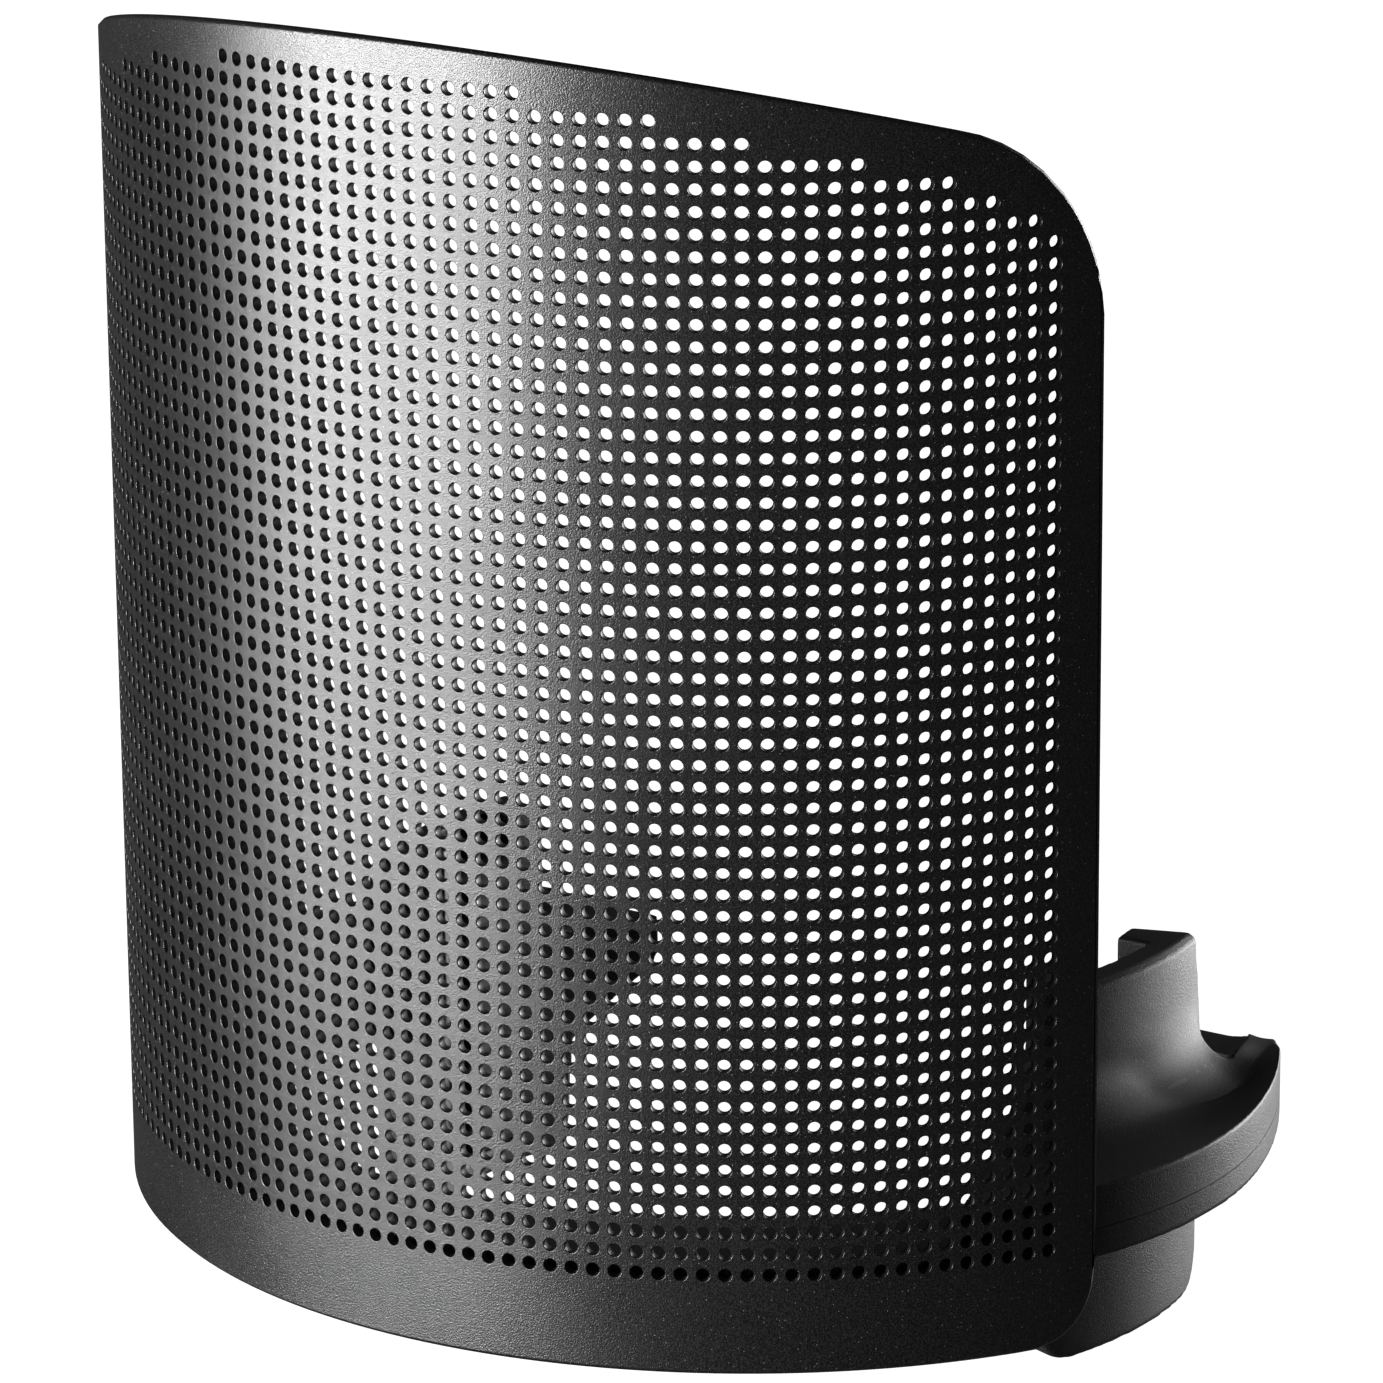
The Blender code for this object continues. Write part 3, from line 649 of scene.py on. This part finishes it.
def spots_of(mesh):
    """Places of a mesh's points, as rows of three numbers."""
    spots = np.empty(len(mesh.vertices) * 3)
    mesh.vertices.foreach_get("co", spots)
    return spots.reshape(-1, 3)


def moved(mesh, spots):
    """Moves a mesh's points to new places."""
    mesh.vertices.foreach_set("co", spots.ravel())
    mesh.update()
    return mesh


def edge_ends(mesh):
    """Numbers of the points at the first end and at the second end of each edge."""
    ends = np.empty(len(mesh.edges) * 2, dtype=np.int64)
    mesh.edges.foreach_get("vertices", ends)
    return ends[0::2], ends[1::2]


def summed(places, rows, count):
    """Adds up rows of three numbers at the points that they belong to."""
    return np.stack([np.bincount(places, rows[:, axis], count) for axis in range(3)], axis=1)


def relaxed(mesh, rounds):
    """Draws each point of a mesh halfway towards the middle of its neighbours, rounds times."""
    spots = spots_of(mesh)
    first, second = edge_ends(mesh)
    count = len(spots)
    neighbours = (np.bincount(first, minlength=count) + np.bincount(second, minlength=count))[:, None]
    for number in range(rounds):
        total = summed(first, spots[second], count) + summed(second, spots[first], count)
        spots += RELAX_SHARE * (total / neighbours - spots)
    return moved(mesh, spots)


def cut_flat(mesh, height, side):
    """Cuts a mesh level at a height and closes it. side is 1 to keep what is above, -1 what is below."""
    shape = bmesh.new()
    shape.from_mesh(mesh)
    everything = [*shape.verts, *shape.edges, *shape.faces]
    cut = bmesh.ops.bisect_plane(shape, geom=everything, plane_co=(0.0, 0.0, height),
                                 plane_no=(0.0, 0.0, side), clear_inner=True)
    border = [item for item in cut["geom_cut"] if isinstance(item, bmesh.types.BMEdge)]
    for edge in border:
        edge.smooth = False
    for face in shape.faces:
        face.smooth = True
    bmesh.ops.triangle_fill(shape, edges=border, use_beauty=True)
    bmesh.ops.recalc_face_normals(shape, faces=shape.faces)
    shape.to_mesh(mesh)
    shape.free()
    return mesh

# %% [markdown]
# ### The hollow beside the wall
# On the real cheek a hollow curve, a cove, sweeps from the upright wall down to the rim, and goes on
# behind the wall, where a notch cuts it short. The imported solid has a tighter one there. A closed bar
# with the cove as its upper side is swept round the clip's axis and laid into the solid, and the skin
# that is wrapped round both makes them one piece. At the notch the bar's inner edge draws outwards.

# %% Helper that adds the cove
WALL_RADIUS = 32.5 * MM
SHELF_HIGH = 1.2 * MM
COVE_RADIUS = 5.0 * MM
COVE_BASE = 0.6 * MM
COVE_INSET = 0.25 * MM
COVE_STEPS = 12
COVE_TURNS = (80.0, 113.5)
COVE_STOPS = 48
NOTCH_TURNS = (99.0, 103.0)
COVE_INNER = (31.5 * MM, 34.6 * MM)
RIM_BEND = Vector((41.7, -1.6)) * MM
RIM_REAR = Vector((33.2, 15.2)) * MM


def eased(share):
    """Turns an even share from 0 to 1 into one that starts and stops gently."""
    return share ** 2 * (3.0 - 2.0 * share)


def between(ends, share):
    """Value at a share of the way from the first end to the second."""
    return ends[0] + (ends[1] - ends[0]) * share


def cove_end(reach):
    """Turn of the cove's arc at a distance from the wall, a quarter turn at the wall itself."""
    return math.asin(min(max(1.0 - reach / COVE_RADIUS, 0.0), 1.0))


def rim_radius(turn):
    """Distance of the rim's straight rear stretch from the clip's axis, along one direction in plan."""
    run = RIM_REAR - RIM_BEND
    return RIM_BEND.cross(run) / Vector((math.sin(turn), -math.cos(turn))).cross(run)


def cove_section(angle):
    """Outline of the bar at an angle from the front, as distances from the axis and heights."""
    share = (angle - NOTCH_TURNS[0]) / (NOTCH_TURNS[1] - NOTCH_TURNS[0])
    inner = between(COVE_INNER, eased(min(max(share, 0.0), 1.0)))
    outer = min(rim_radius(math.radians(angle)) - COVE_INSET, WALL_RADIUS + COVE_RADIUS)
    arcs = (cove_end(inner - WALL_RADIUS), cove_end(outer - WALL_RADIUS))
    section = [(outer, COVE_BASE), (inner, COVE_BASE)]
    for step in range(COVE_STEPS + 1):
        arc = between(arcs, step / COVE_STEPS)
        radius = WALL_RADIUS + COVE_RADIUS * (1.0 - math.sin(arc))
        section.append((max(radius, inner), SHELF_HIGH + COVE_RADIUS * (1.0 - math.cos(arc))))
    return section


def with_cove(mesh, mirror):
    """Lays the cove's bar into a cheek. mirror is 1 on the right and -1 on the left."""
    shape = bmesh.new()
    shape.from_mesh(mesh)
    rings = []
    for stop in range(COVE_STOPS + 1):
        angle = between(COVE_TURNS, stop / COVE_STOPS)
        turn = math.radians(angle)
        out = Vector((mirror * math.sin(turn), -math.cos(turn), 0.0))
        ring = []
        for radius, height in cove_section(angle):
            ring.append(shape.verts.new(out * radius + Vector((0.0, 0.0, height))))
        rings.append(ring)
    for ring, after in zip(rings, rings[1:]):
        for number in range(len(ring)):
            follow = (number + 1) % len(ring)
            shape.faces.new((ring[number], ring[follow], after[follow], after[number]))
    shape.faces.new(rings[0])
    shape.faces.new(reversed(rings[-1]))
    bmesh.ops.recalc_face_normals(shape, faces=shape.faces)
    shape.to_mesh(mesh)
    shape.free()
    return mesh

# %% [markdown]
# ### The shelf behind the wall
# Behind the wall the shelf isn't level: it rises a little towards the rim, so its rear corner stands
# higher than its inner edge. The relaxed points there are lifted, the more the farther out they lie.

# %% Helper that tips the shelf
SHELF_START = 5.5 * MM
SHELF_FULL = 10.0 * MM
SHELF_BLEND = 0.8 * MM
SHELF_PIVOT = 31.2 * MM
SHELF_TILT = 0.25
SHELF_RISE = 0.6 * MM


def tipped(mesh):
    """Tips the shelf behind a cheek's wall, so that it rises outwards, and leaves the rest."""
    spots = spots_of(mesh)
    behind = np.clip((spots[:, 1] - SHELF_START) / (SHELF_FULL - SHELF_START), 0.0, 1.0)
    above = np.clip((spots[:, 2] - PARTING_PLAY) / SHELF_BLEND, 0.0, 1.0)
    rise = SHELF_TILT * (np.abs(spots[:, 0]) - SHELF_PIVOT)
    spots[:, 2] += np.clip(rise, 0.0, SHELF_RISE) * (eased(behind) * above)
    return moved(mesh, spots)

# %% [markdown]
# ### Even shading
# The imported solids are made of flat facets, and on a glossy black wall even a slight facet shows as a
# stripe. The real wall is one smooth curve. So the normals of neighbouring points are averaged many
# times, but only where they already point almost the same way. Rounded edges turn faster than that
# and keep their own shading, and so does the level cut at the parting line.

# %% Helper that evens out the shading
SAME_CURVE = math.cos(math.radians(4.5))
SHADING_ROUNDS = 50
FAINTEST = 1e-9


def evened(mesh, cut_height):
    """Shades near-flat facets as one curve, and leaves rounded edges and the level cut as they are."""
    corners = np.empty(len(mesh.loops), dtype=np.int64)
    mesh.loops.foreach_get("vertex_index", corners)
    sides = np.empty(len(mesh.polygons), dtype=np.int64)
    mesh.polygons.foreach_get("loop_total", sides)
    facing = np.empty(len(mesh.polygons) * 3)
    mesh.polygons.foreach_get("normal", facing)
    middle = np.empty(len(mesh.polygons) * 3)
    mesh.polygons.foreach_get("center", middle)
    owner = np.repeat(np.arange(len(sides)), sides)
    facing = facing.reshape(-1, 3)[owner]
    on_cut = (np.abs(middle[2::3] - cut_height) < TOUCH)[owner]
    first, second = edge_ends(mesh)
    count = len(mesh.vertices)
    normals = FAINTEST + summed(corners[~on_cut], facing[~on_cut], count)
    normals /= np.linalg.norm(normals, axis=1)[:, None]
    for number in range(SHADING_ROUNDS):
        near = np.einsum("ij,ij->i", normals[first], normals[second]) > SAME_CURVE
        here, there = first[near], second[near]
        normals = normals + summed(here, normals[there], count) + summed(there, normals[here], count)
        normals /= np.linalg.norm(normals, axis=1)[:, None]
    shading = normals[corners]
    shading[on_cut] = facing[on_cut]
    mesh.normals_split_custom_set(shading.tolist())
    return mesh

# %% Cheeks and cradle
PARTING_LINE = 0.03 * MM
PARTING_SPARE = 1.2 * MM
CHEEK_SQUARE = 0.14 * MM
CRADLE_SQUARE = 0.20 * MM
CHEEK_ROUNDS = 11
CRADLE_ROUNDS = 12
MOULDINGS = (("right_cheek", 1, 1, CHEEK_SQUARE, CHEEK_ROUNDS),
             ("left_cheek", 1, -1, CHEEK_SQUARE, CHEEK_ROUNDS),
             ("cradle", -1, 0, CRADLE_SQUARE, CRADLE_ROUNDS))

for node, side, mirror, square, rounds in MOULDINGS:
    copy = merged_copy(node, -side * PARTING_SPARE)
    if mirror:
        copy = with_cove(copy, mirror)
    skin = relaxed(skinned(copy, square), rounds)
    if mirror:
        skin = tipped(skin)
    skin = evened(cut_flat(skin, side * PARTING_LINE, side), side * PARTING_LINE)
    placed(node + "_moulding", skin, soft_moulding, "moulding", node)
    print("open edges:", open_edges(skin))

# %% [markdown]
# ## The grip pads
# A strip of rubber lines each arm where it presses on the microphone. Such pads have shallow ribs that
# give under pressure, so the pad is a curved block whose inner face rises and falls in even waves and
# sinks at its border.

# %% Grip pads
PAD_SEAT = 29.5 * MM
PAD_FACE = 26.0 * MM
PAD_SPAN = (77.6, 94.9)
PAD_HEIGHTS = (-14.2 * MM, 8.9 * MM)
PAD_RIBS = 9
RIB_DEPTH = 0.55 * MM
PAD_BORDER = 1.0 * MM
PAD_DEEPEST = 1.5 * PAD_BORDER
PAD_COLUMNS = 36
PAD_ROWS = 110
PAD_SHARP = math.radians(50.0)


def pad_face(across, up):
    """Radius of the ribbed face at shares of the pad's width and height."""
    width = math.radians(PAD_SPAN[1] - PAD_SPAN[0]) * PAD_FACE
    height = PAD_HEIGHTS[1] - PAD_HEIGHTS[0]
    from_side = min(across, 1.0 - across) * width
    from_end = min(up, 1.0 - up) * height
    sunk = corner_drop(from_side, PAD_BORDER) + corner_drop(from_end, PAD_BORDER)
    wave = 0.5 - 0.5 * math.cos(2.0 * math.pi * PAD_RIBS * up)
    return PAD_FACE + RIB_DEPTH * (1.0 - wave) + min(sunk, PAD_DEEPEST)


def pad_mesh(name, side):
    """A curved rubber block, ribbed on its inner face. side is 1 on the right and -1 on the left."""
    verts, faces = [], []
    for radius_of in (pad_face, lambda across, up: PAD_SEAT):
        for column in range(PAD_COLUMNS + 1):
            across = column / PAD_COLUMNS
            angle = math.radians(PAD_SPAN[0] + across * (PAD_SPAN[1] - PAD_SPAN[0]))
            for row in range(PAD_ROWS + 1):
                up = row / PAD_ROWS
                radius = radius_of(across, up)
                height = PAD_HEIGHTS[0] + up * (PAD_HEIGHTS[1] - PAD_HEIGHTS[0])
                verts.append((side * radius * math.sin(angle), -radius * math.cos(angle), height))
    tall = PAD_ROWS + 1
    back = tall * (PAD_COLUMNS + 1)
    for column in range(PAD_COLUMNS):
        for row in range(PAD_ROWS):
            near = column * tall + row
            faces.append((near, near + 1, near + tall + 1, near + tall))
            faces.append((back + near, back + near + tall, back + near + tall + 1, back + near + 1))
    border = [column * tall for column in range(PAD_COLUMNS)]
    border += [PAD_COLUMNS * tall + row for row in range(PAD_ROWS)]
    border += [column * tall + PAD_ROWS for column in range(PAD_COLUMNS, 0, -1)]
    border += [row for row in range(PAD_ROWS, 0, -1)]
    for number, near in enumerate(border):
        after = border[(number + 1) % len(border)]
        faces.append((near, near + back, after + back, after))
    mesh = bpy.data.meshes.new(name)
    mesh.from_pydata(verts, [], faces)
    shape = bmesh.new()
    shape.from_mesh(mesh)
    bmesh.ops.recalc_face_normals(shape, faces=shape.faces)
    shape.to_mesh(mesh)
    shape.free()
    mesh.shade_smooth()
    mesh.set_sharp_from_angle(angle=PAD_SHARP)
    return mesh


for side, word in ((1, "right"), (-1, "left")):
    name = word + "_ribbed_pad"
    pad = placed(name, pad_mesh(name, side), grip_rubber, "pad", word + "_grip_pad")
    print("open edges on the", word, "pad:", open_edges(pad.data))

# %% [markdown]
# ## Brackets and screws
# Bent steel brackets hold the sheet's plain bottom margin to the clip, and small screws come up from
# below. The brackets are simple enough for a bevel to round their edges. A screw's head is turned on a
# lathe and has a cross cut into it for the driver, so each head is spun from a profile and the cross is
# cut out with a boolean.

# %% Brackets
BRACKET_ROUND = 0.12 * MM
BRACKET_STEPS = 2
BRACKET_CORNER = math.radians(40.0)
STEEL_SHARP = math.radians(35.0)


def bevelled(node):
    """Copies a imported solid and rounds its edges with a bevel."""
    carrier = carried("carrier", merged_copy(node))
    bevel = carrier.modifiers.new("round", "BEVEL")
    bevel.width = BRACKET_ROUND
    bevel.segments = BRACKET_STEPS
    bevel.limit_method = "ANGLE"
    bevel.angle_limit = BRACKET_CORNER
    mesh = applied(carrier)
    mesh.shade_smooth()
    mesh.set_sharp_from_angle(angle=STEEL_SHARP)
    return mesh


for word in ("left", "centre", "right"):
    node = "screen_bracket_" + word
    placed("bent_bracket_" + word, bevelled(node), black_zinc, "steel", node)

# %% Helpers that turn a screw and cut its cross
SHANK_RADIUS = 0.9 * MM
HEAD_RADIUS = 1.7 * MM
HEAD_HEIGHT = 1.1 * MM
HEAD_PROFILE = ((0.0, 0.0), (1.0 * MM, 0.0), (1.3 * MM, 0.06 * MM), (1.55 * MM, 0.25 * MM),
                (HEAD_RADIUS, 0.6 * MM), (HEAD_RADIUS, HEAD_HEIGHT), (SHANK_RADIUS, HEAD_HEIGHT))
THREAD_PITCH = 0.5 * MM
THREAD_ROOT = (0.82, 0.3)
THREAD_CREST = (1.0, 0.75)
TIP_HEIGHT = 0.3 * MM
TIP_SHARE = 0.6
CROSS_ARM = 0.9 * MM
CROSS_WIDTH = 0.42 * MM
CROSS_DEPTH = 0.6 * MM
CROSS_TAPER = 0.6
SCREW_SIDES = 32


def spun(profile, name):
    """Turns a profile of (radius, height) points about the upright axis."""
    shape = bmesh.new()
    turns = [2.0 * math.pi * side / SCREW_SIDES for side in range(SCREW_SIDES)]
    rings = []
    for radius, height in profile:
        if radius == 0.0:
            rings.append([shape.verts.new((0.0, 0.0, height))] * SCREW_SIDES)
            continue
        spots = [(radius * math.cos(turn), radius * math.sin(turn), height) for turn in turns]
        rings.append([shape.verts.new(spot) for spot in spots])
    for lower, upper in zip(rings, rings[1:]):
        for side in range(SCREW_SIDES):
            after = (side + 1) % SCREW_SIDES
            corners = [lower[side], lower[after], upper[after], upper[side]]
            shape.faces.new(list(dict.fromkeys(corners)))
    mesh = bpy.data.meshes.new(name)
    shape.to_mesh(mesh)
    shape.free()
    return mesh


def cross_cutter():
    """A solid cross that tapers upwards into the head, as the tip of a driver does."""
    outline = []
    for quarter in range(4):
        turn = Matrix.Rotation(quarter * math.pi / 2.0, 2)
        for corner in ((CROSS_ARM, -CROSS_WIDTH / 2), (CROSS_ARM, CROSS_WIDTH / 2),
                       (CROSS_WIDTH / 2, CROSS_WIDTH / 2)):
            outline.append(turn @ Vector(corner))
    shape = bmesh.new()
    low = [shape.verts.new((*corner, -HEAD_HEIGHT)) for corner in outline]
    high = [shape.verts.new((*(corner * CROSS_TAPER), CROSS_DEPTH)) for corner in outline]
    shape.faces.new(reversed(low))
    shape.faces.new(high)
    for number in range(len(outline)):
        after = (number + 1) % len(outline)
        shape.faces.new((low[number], low[after], high[after], high[number]))
    mesh = bpy.data.meshes.new("cross_cutter")
    shape.to_mesh(mesh)
    shape.free()
    return mesh


def screw_mesh(name, length):
    """A pan-head screw with its head at the bottom and a cross in it."""
    profile = list(HEAD_PROFILE)
    threads = int((length - HEAD_HEIGHT) / THREAD_PITCH)
    rise = (length - HEAD_HEIGHT - TIP_HEIGHT) / threads
    for thread in range(threads):
        base = HEAD_HEIGHT + thread * rise
        for wide, up in (THREAD_ROOT, THREAD_CREST):
            profile.append((SHANK_RADIUS * wide, base + rise * up))
    profile += [(SHANK_RADIUS * TIP_SHARE, length), (0.0, length)]
    carrier = carried("carrier", spun(profile, name))
    cutter = carried("cutter", cross_cutter())
    cut = carrier.modifiers.new("cross", "BOOLEAN")
    cut.object = cutter
    cut.operation = "DIFFERENCE"
    cut.solver = "EXACT"
    mesh = applied(carrier)
    bpy.data.objects.remove(cutter)
    mesh.shade_smooth()
    mesh.set_sharp_from_angle(angle=STEEL_SHARP)
    return mesh

# %% Screws
for node in sorted(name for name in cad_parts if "_screw_" in name):
    low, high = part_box(node)
    mesh = screw_mesh("turned_" + node, high.z - low.z)
    mesh.transform(Matrix.Translation(((low.x + high.x) / 2, (low.y + high.y) / 2, low.z)))
    placed("turned_" + node, mesh, black_zinc, "steel", node)
    print("open edges:", open_edges(mesh))

# %% [markdown]
# ## Floor, sky and light
# The picture has a plain white ground. A white floor would throw much light up into the black finishes,
# so only the camera sees the floor, and the sky is white to the camera and dim to every other ray.
# Black pieces are drawn by what they mirror, so each light is a soft box with a size of its own.

# %% Floor
WHITE = (1.0, 1.0, 1.0, 1.0)
FLOOR_HALF = 3.0
FLOOR_GAP = 0.2 * MM
FLOOR_GREY = 0.8
FLOOR_CORNERS = ((-1, -1), (1, -1), (1, 1), (-1, 1))

floor_high = cad_low.z - FLOOR_GAP
floor_mesh = bpy.data.meshes.new("floor")
corners = [(x * FLOOR_HALF, y * FLOOR_HALF, floor_high) for x, y in FLOOR_CORNERS]
floor_mesh.from_pydata(corners, [], [(0, 1, 2, 3)])
floor = bpy.data.objects.new("floor", floor_mesh)
bpy.context.scene.collection.objects.link(floor)

white = bpy.data.materials.new("white_ground")
white.use_nodes = True
surface = white.node_tree.nodes["Principled BSDF"]
surface.inputs["Base Color"].default_value = (FLOOR_GREY, FLOOR_GREY, FLOOR_GREY, 1.0)
surface.inputs["Emission Color"].default_value = WHITE
surface.inputs["Emission Strength"].default_value = 1.0
floor_mesh.materials.append(white)
for kind in ("diffuse", "glossy", "transmission", "shadow"):
    setattr(floor, "visible_" + kind, False)
print("floor lies at", round(floor_high / MM, 1), "mm")

# %% Sky
SKY_LIGHT = 0.045

sky = bpy.data.worlds.new("sky")
sky.use_nodes = True
bpy.context.scene.world = sky
tree = sky.node_tree
seen = tree.nodes["Background"]
seen.inputs["Color"].default_value = WHITE
dim = tree.nodes.new("ShaderNodeBackground")
dim.inputs["Color"].default_value = (SKY_LIGHT, SKY_LIGHT, SKY_LIGHT, 1.0)
either = tree.nodes.new("ShaderNodeMixShader")
ray = tree.nodes.new("ShaderNodeLightPath")
tree.links.new(ray.outputs["Is Camera Ray"], either.inputs["Fac"])
tree.links.new(dim.outputs["Background"], either.inputs[1])
tree.links.new(seen.outputs["Background"], either.inputs[2])
tree.links.new(either.outputs["Shader"], tree.nodes["World Output"].inputs["Surface"])
bpy.context.scene.view_settings.view_transform = "Standard"
print("sky's light is", SKY_LIGHT)

# %% [markdown]
# ### Soft boxes
# A tall box in front, a little to the left, draws the broad upright highlight on the screen. A wide,
# low one farther left lights the screen's left half and its bottom margin. Behind, on the right, a
# third grazes the clip's walls, and a faint fourth glints in the holes from the back.

# %% Soft boxes
LIGHT_AIM = Vector((0.0, 0.0, 30.0 * MM))
LIGHT_DISTANCE = 0.9


def soft_box(name, around, above, width, height, power):
    """Hangs a soft box at an angle from the front towards the right, and at an angle above level."""
    lamp = bpy.data.lights.new(name, "AREA")
    lamp.shape = "RECTANGLE"
    lamp.size = width
    lamp.size_y = height
    lamp.energy = power
    box = bpy.data.objects.new(name, lamp)
    turn, lift = math.radians(around), math.radians(above)
    away = Vector((math.sin(turn) * math.cos(lift), -math.cos(turn) * math.cos(lift), math.sin(lift)))
    facing = away.to_track_quat("Z", "Y").to_matrix().to_4x4()
    box.matrix_world = Matrix.Translation(LIGHT_AIM + away * LIGHT_DISTANCE) @ facing
    box.visible_camera = False
    bpy.context.scene.collection.objects.link(box)


soft_box("front_box", around=-16.0, above=1.0, width=0.25, height=0.44, power=10.0)
soft_box("front_left_box", around=-42.0, above=-4.0, width=0.36, height=0.24, power=7.4)
soft_box("back_right_box", around=164.0, above=-5.5, width=0.30, height=0.38, power=5.9)
soft_box("back_box", around=180.0, above=6.0, width=0.30, height=0.30, power=1.3)
print("lights:", [lamp.name for lamp in bpy.data.lights])
